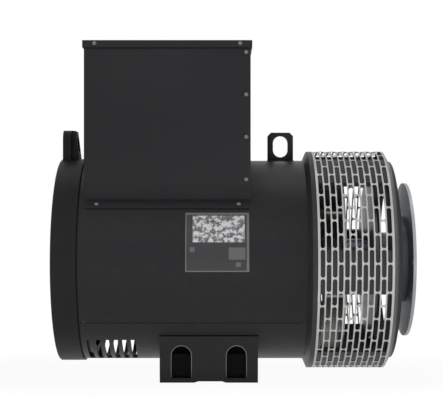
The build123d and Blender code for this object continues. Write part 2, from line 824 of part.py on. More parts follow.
# ---------------------------------------------------------------- drive-end bracket
with BuildPart() as bracket:
    # back ring, sloping up from the frame to the screen's seat
    turned([
        (de_ring, bracket_bore), (de_ring, spigot_fit), (frame_de, spigot_fit), (frame_de, frame_radius),
        (frame_de + bracket_slope, bracket_radius), (bracket_rim_end, bracket_radius),
        (bracket_rim_end, arm_inner), (web_de, arm_inner), (web_de, bracket_bore),
    ])
    # flange ring with its spigot
    turned([
        (flange_rim, arm_inner), (flange_rim, bracket_radius), (-flange_land, flange_radius), (0, flange_radius),
        (0, spigot_radius), (spigot_length, spigot_radius), (spigot_length, flange_bore),
        (flange_rim_back, flange_bore), (flange_rim_back, arm_inner),
    ])
    drilled(de_ring - 1, web_de + 1, tie_bolt_circle, tie_bolt_count, tie_bolt_radius + hole_gap,
            tie_bolt_phase)
    drilled(flange_rim_back - 1, 1, flange_bolt_circle / 2, flange_hole_count, flange_hole_radius,
            180 / flange_hole_count)
    for i in range(arm_count):
        start = 360 / arm_count * i + arm_phase - arm_angle / 2
        arc_blocks(bracket_rim_end, flange_rim, seat_radius, arm_inner, start, arm_angle)
save(bracket.part, "de_bracket")

axial_bolts("de_bracket_bolts", web_de, 1, tie_bolt_circle, tie_bolt_count, tie_bolt_radius,
            web_de - de_ring + end_ring_thick - 3, tie_bolt_phase)

# ---------------------------------------------------------------- fan screen
with BuildPart() as screen:
    ring(bracket_rim_end + hairline, flange_rim - hairline, bracket_radius, seat_radius)
    for column in range(screen_columns):
        x = screen_middle + screen_pitch * (column - (screen_columns - 1) / 2)
        stagger = 180 + 180 / screen_slots_round * (column % 2)
        angles = [stagger + 360 / screen_slots_round * k for k in range(screen_slots_round)]
        with BuildSketch(*[outward(x, angle, seat_radius - 4) for angle in angles]):
            Rectangle(screen_slot_width, screen_slot_length)
        extrude(amount=screen_wall + 8, mode=Mode.SUBTRACT)
save(screen.part, "fan_screen")

# the sheet is drawn tight at the back by two strips and their screws
clasp_screw_places = [
    (clasp_nde + clasp_length / 2 + clasp_screw_pitch * (i - (clasp_screw_count - 1) / 2),
     bracket_radius + clasp_height / 2) for i in range(clasp_screw_count)
]
with BuildPart() as clasp:
    for z in (-clasp_gap / 2 - clasp_thick, clasp_gap / 2):
        with BuildSketch(Plane.XY.offset(z)):
            with Locations((clasp_nde + clasp_length / 2, bracket_radius + clasp_height / 2 - 1)):
                Rectangle(clasp_length, clasp_height + 2)
            with Locations(*clasp_screw_places):
                Circle(clasp_screw_radius + hole_gap, mode=Mode.SUBTRACT)
        extrude(amount=clasp_thick)
    ring(clasp_nde - 1, clasp_nde + clasp_length + 1, bracket_radius, 0, Mode.SUBTRACT)
save(clasp.part, "screen_clasp")

with BuildPart() as clasp_screws:
    with BuildSketch(Plane.XY.offset(clasp_gap / 2 + clasp_thick)):
        with Locations(*clasp_screw_places):
            RegularPolygon(2 * clasp_screw_radius, 6)
    extrude(amount=clasp_screw_radius * 1.4)
    with BuildSketch(Plane.XY.offset(clasp_gap / 2 + clasp_thick)):
        with Locations(*clasp_screw_places):
            Circle(clasp_screw_radius)
    extrude(amount=-clasp_gap - 2 * clasp_thick - clasp_screw_radius)
save(clasp_screws.part, "screen_clasp_screws")

# ---------------------------------------------------------------- terminal box
panel_places = [(panel_screw_de, z) for z in panel_screw_heights]
panel_places += [(box_nde + screw_inset, z) for z in panel_screw_heights]
lid_places = [(box_nde + lid_screw_inset, lid_screw_height), (box_de - lid_screw_inset, lid_screw_height)]
gland_places = [
    (y, gland_height_centre + z)
    for y in (gland_border / 2 - gland_length / 2, gland_length / 2 - gland_border / 2)
    for z in (gland_border / 2 - gland_height / 2, gland_height / 2 - gland_border / 2)
]


def box_section(x, inset, top):
    """The box's outline across the shaft, drawn inset from its outer faces and up to this height."""
    toe = skirt_foot - inset
    side = wall_plane - inset
    low = frame_radius / 2
    shoulder = panel_foot + inset / 2
    lap = toe - (side - toe) / 8
    lap_height = skirt_foot_height - (shoulder - skirt_foot_height) / 8
    with BuildSketch(Plane.YZ.offset(x)) as section:
        with BuildLine():
            Polyline(
                (-lap, low), (-lap, lap_height), (-side, shoulder), (-side, top),
                (side, top), (side, shoulder), (lap, lap_height), (lap, low), close=True,
            )
        make_face()
    return section.sketch


with BuildPart() as box:
    extrude(box_section(box_nde, 0, wall_top), amount=box_length)
    inside = box_section(box_nde + box_wall, box_wall, wall_top + box_wall)
    extrude(inside, amount=box_length - 2 * box_wall, mode=Mode.SUBTRACT)
    # large windows behind the two panels, and one behind the gland plate
    with BuildSketch(Plane.XZ.offset(-2 * wall_plane)):
        with Locations((box_middle, (panel_foot + panel_top) / 2)):
            Rectangle(box_length - 2 * window_border, panel_top - panel_foot - 2 * window_border)
    extrude(amount=4 * wall_plane, mode=Mode.SUBTRACT)
    with BuildSketch(Plane.YZ.offset(box_nde - box_wall)):
        with Locations((0, gland_height_centre)):
            Rectangle(gland_length - 2 * gland_border, gland_height - 2 * gland_border)
        with Locations(*gland_places):
            Circle(clearance_hole)
    extrude(amount=3 * box_wall, mode=Mode.SUBTRACT)
    # the skirts turn out along the shell as two screwed strips
    for start in (skirt_angle - skirt_flange_angle, 180 - skirt_angle - skirt_flange_lap):
        arc_blocks(box_nde + skirt_flange_set_in, box_de - skirt_flange_set_in,
                   frame_radius + skirt_flange_thick, frame_bore, start,
                   skirt_flange_angle + skirt_flange_lap)
    ring(box_nde - 1, box_de + 1, frame_radius, 0, Mode.SUBTRACT)
    for angle in skirt_screw_angles:
        for x in skirt_screw_places:
            with BuildSketch(outward(x, angle, frame_radius - 1)):
                Circle(clearance_hole)
            extrude(amount=skirt_flange_thick + 2, mode=Mode.SUBTRACT)
    for side in (-1, 1):
        side_holes(panel_places, side, wall_plane, clearance_hole)
        side_holes(lid_places, side, wall_plane, lid_screw_shank + hole_gap)
save(box.part, "terminal_box")

for name, side in (("box_front_panel", -1), ("box_rear_panel", 1)):
    with BuildPart() as panel:
        with BuildSketch(Plane.XZ.offset(-side * wall_plane)):
            with Locations((box_middle, (panel_foot + panel_top) / 2)):
                Rectangle(box_length, panel_top - panel_foot)
            with Locations(*panel_places):
                Circle(clearance_hole, mode=Mode.SUBTRACT)
        extrude(amount=-side * panel_thick)
    save(panel.part, name)
panel_screws("front_panel_screws", panel_places, -1, box_half_depth)
panel_screws("rear_panel_screws", panel_places, 1, box_half_depth)

with BuildPart() as skirt_screws:
    for angle in skirt_screw_angles:
        for x in skirt_screw_places:
            with BuildSketch(outward(x, angle, frame_radius + skirt_flange_thick)):
                Circle(screw_head_radius)
            extrude(amount=screw_head)
            with BuildSketch(outward(x, angle, frame_radius + skirt_flange_thick)):
                Circle(screw_shank)
            extrude(amount=-screw_length)
save(skirt_screws.part, "skirt_screws")

with BuildPart() as lid:
    with BuildSketch(Plane.XY.offset(lid_rim)):
        with Locations((box_middle, 0)):
            Rectangle(lid_length, 2 * lid_half_depth)
    extrude(amount=lid_top - lid_rim)
    fillet(lid.edges().filter_by(Axis.Z), lid_wall)
    with BuildSketch(Plane.XY.offset(lid_rim)):
        with Locations((box_middle, 0)):
            Rectangle(lid_length - 2 * lid_wall, 2 * lid_half_depth - 2 * lid_wall)
    extrude(amount=lid_underside - lid_rim, mode=Mode.SUBTRACT)
    for side in (-1, 1):
        side_holes(lid_places, side, lid_half_depth, lid_screw_shank + hole_gap)
save(lid.part, "box_lid")

with BuildPart() as gasket:
    with BuildSketch(Plane.XY.offset(wall_top)):
        with Locations((box_middle, 0)):
            Rectangle(box_length, 2 * wall_plane)
            Rectangle(box_length - 2 * gasket_width, 2 * wall_plane - 2 * gasket_width, mode=Mode.SUBTRACT)
    extrude(amount=gasket_thick)
save(gasket.part, "lid_gasket")

lid_screw_length = lid_half_depth - wall_plane + 2 * box_wall
with BuildPart() as lid_screws:
    for side in (-1, 1):
        with BuildSketch(Plane.XZ.offset(-side * lid_half_depth)):
            with Locations(*lid_places):
                Circle(screw_head_radius)
        extrude(amount=-side * screw_head)
        with BuildSketch(Plane.XZ.offset(-side * lid_half_depth)):
            with Locations(*lid_places):
                Circle(lid_screw_shank)
        extrude(amount=side * lid_screw_length)
save(lid_screws.part, "lid_screws")

with BuildPart() as gland_plate:
    with BuildSketch(Plane.YZ.offset(box_nde - gland_thick)):
        with Locations((0, gland_height_centre)):
            RectangleRounded(gland_length, gland_height, 4)
        with Locations(*gland_places):
            Circle(clearance_hole, mode=Mode.SUBTRACT)
    extrude(amount=gland_thick)
save(gland_plate.part, "gland_plate")

with BuildPart() as gland_screws:
    with BuildSketch(Plane.YZ.offset(box_nde - gland_thick)):
        with Locations(*gland_places):
            Circle(screw_head_radius)
    extrude(amount=-screw_head)
    with BuildSketch(Plane.YZ.offset(box_nde - gland_thick)):
        with Locations(*gland_places):
            Circle(screw_shank)
    extrude(amount=screw_length)
save(gland_screws.part, "gland_plate_screws")

# ---------------------------------------------------------------- inside the box
board_places = [
    (board_nde + x, y)
    for x in (standoff_inset, board_length - standoff_inset)
    for y in (standoff_inset - board_width / 2, board_width / 2 - standoff_inset)
]
stud_places = [
    (board_nde + board_length / 2 + stud_pitch * (i - (studs_in_row - 1) / 2), y)
    for i in range(studs_in_row)
    for y in (-stud_row_pitch / 2, stud_row_pitch / 2)
]
board_top = board_height + board_thick
regulator_centre = board_top + stud_height + regulator_clearance + regulator_height / 2

with BuildPart() as standoffs:
    with BuildSketch(Plane.XY.offset(frame_radius / 2)):
        with Locations(*board_places):
            Circle(standoff_radius)
    extrude(amount=board_height - frame_radius / 2)
    ring(board_nde, board_nde + board_length, frame_radius, 0, Mode.SUBTRACT)
save(standoffs.part, "board_standoffs")

with BuildPart() as board:
    with BuildSketch(Plane.XY.offset(board_height)):
        with Locations((board_nde + board_length / 2, 0)):
            RectangleRounded(board_length, board_width, 5)
    extrude(amount=board_thick)
save(board.part, "terminal_board")

with BuildPart() as studs:
    with BuildSketch(Plane.XY.offset(board_top)):
        with Locations(*stud_places):
            Circle(stud_radius)
    extrude(amount=stud_height)
save(studs.part, "terminal_studs")

with BuildPart() as nuts:
    with BuildSketch(Plane.XY.offset(board_top)):
        with Locations(*stud_places):
            RegularPolygon(nut_radius, 6)
            Circle(stud_radius, mode=Mode.SUBTRACT)
    extrude(amount=nut_height)
save(nuts.part, "terminal_nuts")

wall_inside = box_de - box_wall
regulator_de = wall_inside - pillar_length
regulator_nde = regulator_de - regulator_thick
pillar_places = [
    (y, regulator_centre + z)
    for y in (pillar_inset - regulator_length / 2, regulator_length / 2 - pillar_inset)
    for z in (pillar_inset - regulator_height / 2, regulator_height / 2 - pillar_inset)
]
with BuildPart() as pillars:
    with BuildSketch(Plane.YZ.offset(regulator_de)):
        with Locations(*pillar_places):
            Circle(standoff_radius)
    extrude(amount=pillar_length)
save(pillars.part, "regulator_pillars")

with BuildPart() as regulator:
    with BuildSketch(Plane.YZ.offset(regulator_nde)):
        with Locations((0, regulator_centre)):
            RectangleRounded(regulator_length, regulator_height, 6)
    extrude(amount=regulator_thick)
save(regulator.part, "voltage_regulator")

with BuildPart() as trimmers:
    with BuildSketch(Plane.YZ.offset(regulator_nde)):
        with Locations((0, regulator_centre)):
            with GridLocations(trimmer_pitch, trimmer_pitch, trimmer_count, 1):
                Circle(trimmer_radius)
    extrude(amount=-trimmer_height)
save(trimmers.part, "regulator_trimmers")

# ---------------------------------------------------------------- rating label, bare
with BuildPart() as label:
    label_back = frame_radius + label_bond
    arc_blocks(label_nde, label_nde + label_length, label_back + label_thick, label_back,
               180 - label_high, label_high - label_low)
save(label.part, "rating_label")
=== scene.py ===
"""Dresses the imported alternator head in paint, metals, welds, fasteners, a slotted screen and a label."""

import json
from math import cos, pi, radians, sin, tau

import bmesh
import bpy
from bpy.props import FloatProperty, FloatVectorProperty, IntProperty, PointerProperty
from bpy.types import Operator, Panel, PropertyGroup
from mathutils import Matrix, Vector


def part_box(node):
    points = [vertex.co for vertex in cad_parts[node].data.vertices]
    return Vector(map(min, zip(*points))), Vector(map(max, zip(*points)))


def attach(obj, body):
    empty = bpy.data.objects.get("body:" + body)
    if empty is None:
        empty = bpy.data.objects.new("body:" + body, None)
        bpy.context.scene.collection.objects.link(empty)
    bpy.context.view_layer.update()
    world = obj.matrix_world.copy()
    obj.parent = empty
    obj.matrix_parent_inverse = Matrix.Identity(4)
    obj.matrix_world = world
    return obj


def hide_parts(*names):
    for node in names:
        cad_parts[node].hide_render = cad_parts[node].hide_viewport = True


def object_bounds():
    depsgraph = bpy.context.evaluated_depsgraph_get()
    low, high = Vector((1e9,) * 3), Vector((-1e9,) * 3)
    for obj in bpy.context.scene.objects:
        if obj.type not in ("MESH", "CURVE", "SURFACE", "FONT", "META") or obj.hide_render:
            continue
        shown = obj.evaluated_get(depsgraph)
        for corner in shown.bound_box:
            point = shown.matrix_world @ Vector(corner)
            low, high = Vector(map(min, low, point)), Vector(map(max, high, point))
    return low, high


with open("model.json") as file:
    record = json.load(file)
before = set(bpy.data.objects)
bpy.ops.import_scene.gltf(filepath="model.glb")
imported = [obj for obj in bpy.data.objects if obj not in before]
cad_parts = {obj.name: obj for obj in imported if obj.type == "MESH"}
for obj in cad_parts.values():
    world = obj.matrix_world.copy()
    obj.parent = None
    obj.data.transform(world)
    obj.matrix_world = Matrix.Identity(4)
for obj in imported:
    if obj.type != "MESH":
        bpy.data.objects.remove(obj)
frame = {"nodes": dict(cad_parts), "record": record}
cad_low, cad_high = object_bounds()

bl_info = {
    "name": "Alternator Head Looks",
    "version": (1, 0, 0),
    "blender": (4, 5, 0),
    "location": "View3D > Sidebar > Alternator",
    "description": "Builds the visible detail of a generator alternator head over its CAD frame",
    "category": "Object",
}

MM = 0.001
SHELL_RADIUS = 228 * MM
# Just under the radius of the screen's solid, so that the sheet stays inside the CAD box.
SCREEN_RADIUS = 248.97 * MM
# Share of a slot's width that rounds its ends. At a half the corners would meet.
ROUND_SHARE = 0.497
PANEL_SCREW_ROWS = 4

EYE_CUT = 30 * MM
RIM_STAND = 0.25 * MM
WINDOW_FROM_DRIVE_END = 47.4 * MM
WINDOW_FROM_REAR = 47.5 * MM
WEB_SINK = 0.5 * MM
LEDGE_OVERHANG = 1.5 * MM
LEDGE_DEPTH = 5 * MM
LEDGE_DROP = 3 * MM
LEDGE_RISE = 0.6 * MM

LABEL_STAND = 0.85 * MM
PRINT_STAND = 0.1 * MM
# Shares of the label: from and to along it, then from and to up it.
LABEL_FIELD = (0.115, 0.93, 0.485, 0.945)
LABEL_BLOCKS = ((0.68, 0.94, 0.2, 0.40), (0.07, 0.145, 0.325, 0.405), (0.79, 0.87, 0.085, 0.155))

# Angles are in degrees above the horizontal, and the lug's are to each side of the top.
SEAM_ANGLE = -35
LUG_WELD_ANGLE = 2.1
SEAM_SINK = 1.2 * MM
FOOT_BEAD_SINK = 1.5 * MM
FOOT_BEAD_TILT = 60
PLUG_SINK = 0.5 * MM
PLUG_RISE = 1.1 * MM
PLUG_WELDS = ((-451 * MM, -11.8), (-346 * MM, -11.8), (-378 * MM, -6), (-295 * MM, -6))

BACKDROP_SHARE = 0.95
# The floor glows as painted bounce light, dimmed under the machine to a painted shadow.
FLOOR_GLOW_START = 0.17
FLOOR_GLOW_END = 0.5
FLOOR_GLOW_IN_PAINTED_SHADOW = 0.04
CAMERA_X = -0.386
LAMP_SHIFT = 0.37
# Name, place, watts, width and depth.
LAMPS = (
    ("key", (-0.9, -2.4, 1.6), 5.5, 2.0, 1.4),
    ("fill", (2.0, -0.6, -0.05), 45, 1.2, 1.2),
    ("top", (-0.3, 0.2, 2.4), 6, 2.4, 0.7),
    ("low", (-0.3, -1.1, -0.24), 1.5, 2.6, 0.3),
)


# ------------------------------------------------------------------ properties
def length(name, description, value, low=0.0, high=1.0):
    """A length property in metres."""
    return FloatProperty(
        name=name, description=description, default=value, min=low, max=high,
        subtype="DISTANCE", unit="LENGTH",
    )


def colour(name, description, value):
    """A colour property."""
    return FloatVectorProperty(
        name=name, description=description, default=value, min=0, max=1, size=3, subtype="COLOR"
    )


class FinishSettings(PropertyGroup):
    paint: colour("Frame paint", "Colour of the painted steel shell, feet and box", (0.0098, 0.0098, 0.0118))
    casting: colour("Casting paint", "Colour of the painted castings", (0.0115, 0.0115, 0.013))
    # The bracket's colour is the black casting paint made much lighter: painted light for the light the
    # bracket catches.
    bracket_painted_light: colour("Bracket paint", "Colour of the thinly painted drive-end bracket", (0.034, 0.034, 0.035))
    bare: colour("Bare edges", "Colour of the screen's bare cut edges", (0.5, 0.5, 0.49))
    disc: colour("Disc steel", "Colour of the coupling's sheets", (0.33, 0.34, 0.36))
    hub: colour("Hub steel", "Colour of the coupling's hub", (0.1, 0.11, 0.13))
    copper: colour("Winding varnish", "Colour of the varnished windings", (0.25, 0.06, 0.02))
    aluminium: colour("Cast aluminium", "Colour of the fan", (0.34, 0.34, 0.33))
    label: colour("Label ground", "Colour of the label's ground", (0.03, 0.03, 0.033))
    wear: FloatProperty(
        name="Edge wear", description="How much the edges are worn", default=0.45, min=0, max=1
    )


class ScreenSettings(PropertyGroup):
    wall: length("Sheet", "Thickness of the slotted sheet", 1.5 * MM)
    pitch: length("Column pitch", "Distance between two columns of slots", 13 * MM)
    slot_width: length("Slot width", "Width of one slot", 10 * MM)
    bridge: length("Bridge", "Metal left between two slots", 3.4 * MM)
    columns: IntProperty(name="Columns", description="Columns of slots", default=12, min=1, max=40)
    slots: IntProperty(name="Slots round", description="Slots in one column", default=25, min=4, max=80)


class WeldSettings(PropertyGroup):
    bead: length("Bead width", "Width of a weld's bead", 5 * MM)
    ripple: length("Ripple", "Length of one ripple of a bead", 3 * MM)
    plug: length("Plug weld", "Radius of a plug weld in the shell", 7 * MM)


class ScrewSettings(PropertyGroup):
    head: length("Head radius", "Radius of a pan head", 4.6 * MM)
    height: length("Head height", "Height of a pan head", 2.6 * MM)
    cross: length("Cross", "Length of the bars of the cross", 5 * MM)
    skirt: length("Skirt strip", "Thickness of the strip that the lower screws clamp", 2.5 * MM)
    skirt_angle: FloatProperty(
        name="Skirt screw angle", description="Above the horizontal, in degrees", default=33.4
    )


class PlateSettings(PropertyGroup):
    edge: length("Edge", "Rounding of the sheet's edges", 0.6 * MM)
    lug_corner: length("Lug corner", "Chamfer of the lug's upper corners", 8 * MM)
    eye_centre: length("Eye height", "Height of the eye's middle over the shaft's axis", 260.5 * MM)
    eye_width: length("Eye width", "Width of the lug's eye", 34 * MM)
    eye_height: length("Eye length", "Height of the lug's eye", 49 * MM)
    window: length("Window", "Width of a foot's window", 46 * MM)
    crown: length("Crown", "Height of a window's top over the shaft's axis", -182.5 * MM, -1.0)
    sill: length("Sill", "Height of a window's foot over the shaft's axis", -255 * MM, -1.0)
    bend: length("Bend", "Height where the foot's plate starts to lean", -238 * MM, -1.0)
    face: length("Face", "Distance of the foot's plate from the machine's middle", 162 * MM)
    lean: length("Lean", "How far the plate has leaned in at the sill", 4 * MM)
    rim: length("Rim", "Width of the bared edge", 1.3 * MM)
    # The web is a near-black sheet of painted shade behind a foot's windows.
    web: length("Web", "Thickness of the web that closes a foot", 6 * MM)
    base: length("Base", "Thickness of the foot's base", 8 * MM)


class LabelSettings(PropertyGroup):
    low: FloatProperty(name="Lower edge", description="Angle above the horizontal, in degrees", default=-4.6)
    high: FloatProperty(name="Upper edge", description="Angle above the horizontal, in degrees", default=28.2)
    border: length("Border", "Width of the label's border", 5 * MM)
    frame: colour("Border colour", "Colour of the border", (0.15, 0.15, 0.135))
    field: colour("Field colour", "Colour of the data field's foil", (0.62, 0.62, 0.62))
    block: colour("Block colour", "Colour of the plain blocks", (0.12, 0.12, 0.125))


class StageSettings(PropertyGroup):
    bounce: FloatProperty(
        name="Floor glow", description="Light that the white floor gives back", default=1.1, min=0, max=4
    )
    distance: length("Camera distance", "Distance from the shaft's axis to the camera", 2.9, 0.5, 20)
    height: length("Camera height", "Camera above the shaft's axis", 0.114, -2, 5)
    lens: FloatProperty(name="Lens", description="Focal length", default=101.6, min=10, max=500)
    floor: colour("Floor", "Colour of the floor", (0.9, 0.9, 0.9))


# ------------------------------------------------------------------ shared shader effects
def new_group(name, inputs, outputs):
    """An empty shader node group with float, vector or colour sockets."""
    tree = bpy.data.node_groups.new(name, "ShaderNodeTree")
    kinds = {"f": "NodeSocketFloat", "v": "NodeSocketVector", "c": "NodeSocketColor"}
    for label, kind, value in inputs:
        socket = tree.interface.new_socket(label, in_out="INPUT", socket_type=kinds[kind])
        if value is not None:
            socket.default_value = value
    for label, kind in outputs:
        tree.interface.new_socket(label, in_out="OUTPUT", socket_type=kinds[kind])
    return tree, tree.nodes.new("NodeGroupInput"), tree.nodes.new("NodeGroupOutput")


def node(tree, kind, links=(), **values):
    """A node with its attributes or unlinked sockets set, and sockets linked by index or name."""
    made = tree.nodes.new(kind)
    for key, value in values.items():
        if hasattr(made, key):
            setattr(made, key, value)
        else:
            made.inputs[key.replace("_", " ")].default_value = value
    for socket, source in dict(links).items():
        tree.links.new(source, made.inputs[socket])
    return made


def maths(tree, operation, a, b, clamp=False):
    """A math node on two sockets or numbers."""
    made = tree.nodes.new("ShaderNodeMath")
    made.operation = operation
    made.use_clamp = clamp
    for socket, value in zip(made.inputs, (a, b)):
        if isinstance(value, (int, float)):
            socket.default_value = value
        else:
            tree.links.new(value, socket)
    return made.outputs[0]


def build_grain():
    """Fine texture: a grain value, slow smudges and the bumped normal."""
    tree, entry, leave = new_group(
        "Surface Grain",
        [
            ("Vector", "v", None),
            ("Scale", "f", 900.0),
            ("Bump", "f", 0.1),
            ("Stretch", "v", (1, 1, 1)),
            ("Smudge Scale", "f", 9.0),
        ],
        [("Grain", "f"), ("Smudge", "f"), ("Normal", "v")],
    )
    place, scale = entry.outputs["Vector"], entry.outputs["Scale"]
    stretch = {0: place, 1: entry.outputs["Stretch"]}
    stretched = node(tree, "ShaderNodeVectorMath", stretch, operation="MULTIPLY")
    sharp = {"Vector": stretched.outputs[0], "Scale": scale}
    fine = node(tree, "ShaderNodeTexNoise", sharp, Detail=4.0, Roughness=0.6)
    soft = {"Vector": place, "Scale": entry.outputs["Smudge Scale"]}
    slow = node(tree, "ShaderNodeTexNoise", soft, Detail=5.0, Roughness=0.62)
    relief = {"Strength": entry.outputs["Bump"], "Height": fine.outputs["Fac"]}
    bump = node(tree, "ShaderNodeBump", relief, Distance=0.0006)
    tree.links.new(fine.outputs["Fac"], leave.inputs["Grain"])
    tree.links.new(slow.outputs["Fac"], leave.inputs["Smudge"])
    tree.links.new(bump.outputs["Normal"], leave.inputs["Normal"])
    return tree


def build_wear():
    """A mask that is high on outer edges, broken up by noise."""
    tree, entry, leave = new_group(
        "Edge Wear", [("Vector", "v", None), ("Amount", "f", 0.4), ("Scale", "f", 60.0)], [("Mask", "f")]
    )
    geometry = tree.nodes.new("ShaderNodeNewGeometry")
    source = {"Vector": entry.outputs["Vector"], "Scale": entry.outputs["Scale"]}
    noise = node(tree, "ShaderNodeTexNoise", source, Detail=6.0, Roughness=0.7)
    rise = maths(tree, "SUBTRACT", geometry.outputs["Pointiness"], 0.53)
    rise = maths(tree, "MULTIPLY", rise, 9.0, clamp=True)
    broken = maths(tree, "SUBTRACT", noise.outputs["Fac"], 0.35)
    broken = maths(tree, "MULTIPLY", broken, 3.0, clamp=True)
    mask = maths(tree, "MULTIPLY", rise, broken, clamp=True)
    mask = maths(tree, "MULTIPLY", mask, entry.outputs["Amount"], clamp=True)
    tree.links.new(mask, leave.inputs["Mask"])
    return tree


def build_dust():
    """A mask for the pale dust that lies on faces that look up."""
    tree, entry, leave = new_group("Dust", [("Vector", "v", None), ("Amount", "f", 0.1)], [("Mask", "f")])
    geometry = tree.nodes.new("ShaderNodeNewGeometry")
    parts = node(tree, "ShaderNodeSeparateXYZ", {0: geometry.outputs["Normal"]})
    source = {"Vector": entry.outputs["Vector"]}
    noise = node(tree, "ShaderNodeTexNoise", source, Scale=26.0, Detail=8.0, Roughness=0.7)
    up = maths(tree, "MULTIPLY", parts.outputs["Z"], noise.outputs["Fac"], clamp=True)
    up = maths(tree, "MULTIPLY", up, entry.outputs["Amount"], clamp=True)
    tree.links.new(up, leave.inputs["Mask"])
    return tree


GROUPS = {}
MATERIALS = {}


def effect(tree, kind, vector, **values):
    """A shared group placed in a material with its own values."""
    made = tree.nodes.new("ShaderNodeGroup")
    made.node_tree = GROUPS[kind]
    tree.links.new(vector, made.inputs["Vector"])
    for key, value in values.items():
        made.inputs[key.replace("_", " ")].default_value = value
    return made


def mixed(tree, factor, a, b):
    """One colour over another by a mask; a and b are sockets or colours."""
    made = tree.nodes.new("ShaderNodeMix")
    made.data_type = "RGBA"
    tree.links.new(factor, made.inputs[0])
    for socket, value in ((made.inputs[6], a), (made.inputs[7], b)):
        if isinstance(value, bpy.types.NodeSocket):
            tree.links.new(value, socket)
        else:
            socket.default_value = (*value[:3], 1.0)
    return made.outputs[2]


def ranged(tree, value, low, high):
    """A 0 to 1 value turned into the span from low to high."""
    made = tree.nodes.new("ShaderNodeMapRange")
    tree.links.new(value, made.inputs["Value"])
    made.inputs["From Min"].default_value = 0.3
    made.inputs["From Max"].default_value = 0.7
    made.inputs["To Min"].default_value = low
    made.inputs["To Max"].default_value = high
    return made.outputs[0]


def material(name, base, rough, metallic=0.0, grain=900.0, bump=0.1, stretch=(1, 1, 1), vary=0.12,
             worn=None, wear=0.3, dust=0.05, coat=0.0, smudge=9.0, gloss=0.5):
    """A layered finish: tone and roughness that vary, grain in the normal, worn edges and dust."""
    if name in MATERIALS:
        return MATERIALS[name]
    made = bpy.data.materials.new(name)
    made.use_nodes = True
    tree = made.node_tree
    shader = tree.nodes["Principled BSDF"]
    place = tree.nodes.new("ShaderNodeTexCoord").outputs["Object"]
    grains = effect(tree, "grain", place, Scale=grain, Bump=bump, Stretch=stretch, Smudge_Scale=smudge)
    dark = [c * (1 - vary) for c in base]
    light = [min(1.0, c * (1 + vary)) for c in base]
    tone = mixed(tree, grains.outputs["Smudge"], dark, light)
    speckle = ranged(tree, grains.outputs["Grain"], 0.0, 0.5)
    tone = mixed(tree, speckle, tone, dark)
    if worn is not None:
        edges = effect(tree, "wear", place, Amount=wear)
        tone = mixed(tree, edges.outputs["Mask"], tone, worn)
    if dust:
        lying = effect(tree, "dust", place, Amount=dust)
        tone = mixed(tree, lying.outputs["Mask"], tone, (0.35, 0.34, 0.32))
    tree.links.new(tone, shader.inputs["Base Color"])
    sheen = ranged(tree, grains.outputs["Smudge"], max(0.02, rough - 0.03), min(1.0, rough + 0.03))
    tree.links.new(sheen, shader.inputs["Roughness"])
    tree.links.new(grains.outputs["Normal"], shader.inputs["Normal"])
    shader.inputs["Metallic"].default_value = metallic
    shader.inputs["Coat Weight"].default_value = coat
    shader.inputs["Specular IOR Level"].default_value = gloss
    made.diffuse_color = (*base[:3], 1.0)
    MATERIALS[name] = made
    return made


def mottled(name, light, dark):
    """A printed foil field, worn to blotches of pale foil over dark ink in fine rows."""
    made = material(name, light, 0.35, 0.3, grain=1500, bump=0.03, vary=0.05, dust=0)
    tree = made.node_tree
    shader = tree.nodes["Principled BSDF"]
    place = tree.nodes.new("ShaderNodeTexCoord").outputs["Object"]
    snap = node(tree, "ShaderNodeVectorMath", {0: place}, operation="SNAP")
    snap.inputs[1].default_value = (1.3 * MM, 1.3 * MM, 1.6 * MM)
    cells = {"Vector": snap.outputs[0]}
    blot = node(tree, "ShaderNodeTexNoise", cells, Scale=100.0, Detail=3.0, Roughness=0.65)
    rows = node(tree, "ShaderNodeTexNoise", cells, Scale=420.0, Detail=1.0)
    mask = maths(tree, "MULTIPLY", maths(tree, "SUBTRACT", blot.outputs["Fac"], 0.48), 14.0, clamp=True)
    spots = maths(tree, "MULTIPLY", maths(tree, "SUBTRACT", rows.outputs["Fac"], 0.5), 2.2, clamp=True)
    ink = mixed(tree, spots, dark, light)
    old = shader.inputs["Base Color"].links[0].from_socket
    tree.links.new(mixed(tree, mask, ink, old), shader.inputs["Base Color"])
    return made


def finish(slot):
    """The material of one of the record's slots."""
    return MATERIALS[slot]


# ------------------------------------------------------------------ mesh helpers
def piece(name, mesh, slot, body="frame", replaces=(), look=None, smooth=True):
    """Turn a bmesh into an object that rides on a body and takes a slot's finish."""
    data = bpy.data.meshes.new(name)
    if smooth:
        for face in mesh.faces:
            face.smooth = True
        for edge in mesh.edges:
            edge.smooth = not (len(edge.link_faces) == 2 and edge.calc_face_angle(0.0) > radians(32))
    mesh.to_mesh(data)
    mesh.free()
    made = bpy.data.objects.new(name, data)
    bpy.context.scene.collection.objects.link(made)
    made.data.materials.append(look or finish(slot))
    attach(made, body)
    if replaces:
        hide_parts(*replaces)
    return made


def radial(x, angle, radius):
    """A frame at an angle round the shaft, from -Y upwards: local x along the shaft, local z off it."""
    out = Vector((0, -cos(radians(angle)), sin(radians(angle))))
    along = Vector((1, 0, 0))
    across = out.cross(along)
    basis = Matrix((along, across, out)).transposed().to_4x4()
    return Matrix.Translation(Vector((x, 0, 0)) + out * radius) @ basis


def facing(x, z, y):
    """A frame on an upright side: local z towards the front, or towards the back where y is positive."""
    out = Vector((0, 1 if y > 0 else -1, 0))
    along = Vector((1, 0, 0))
    basis = Matrix((along, out.cross(along), out)).transposed().to_4x4()
    return Matrix.Translation((x, y, z)) @ basis


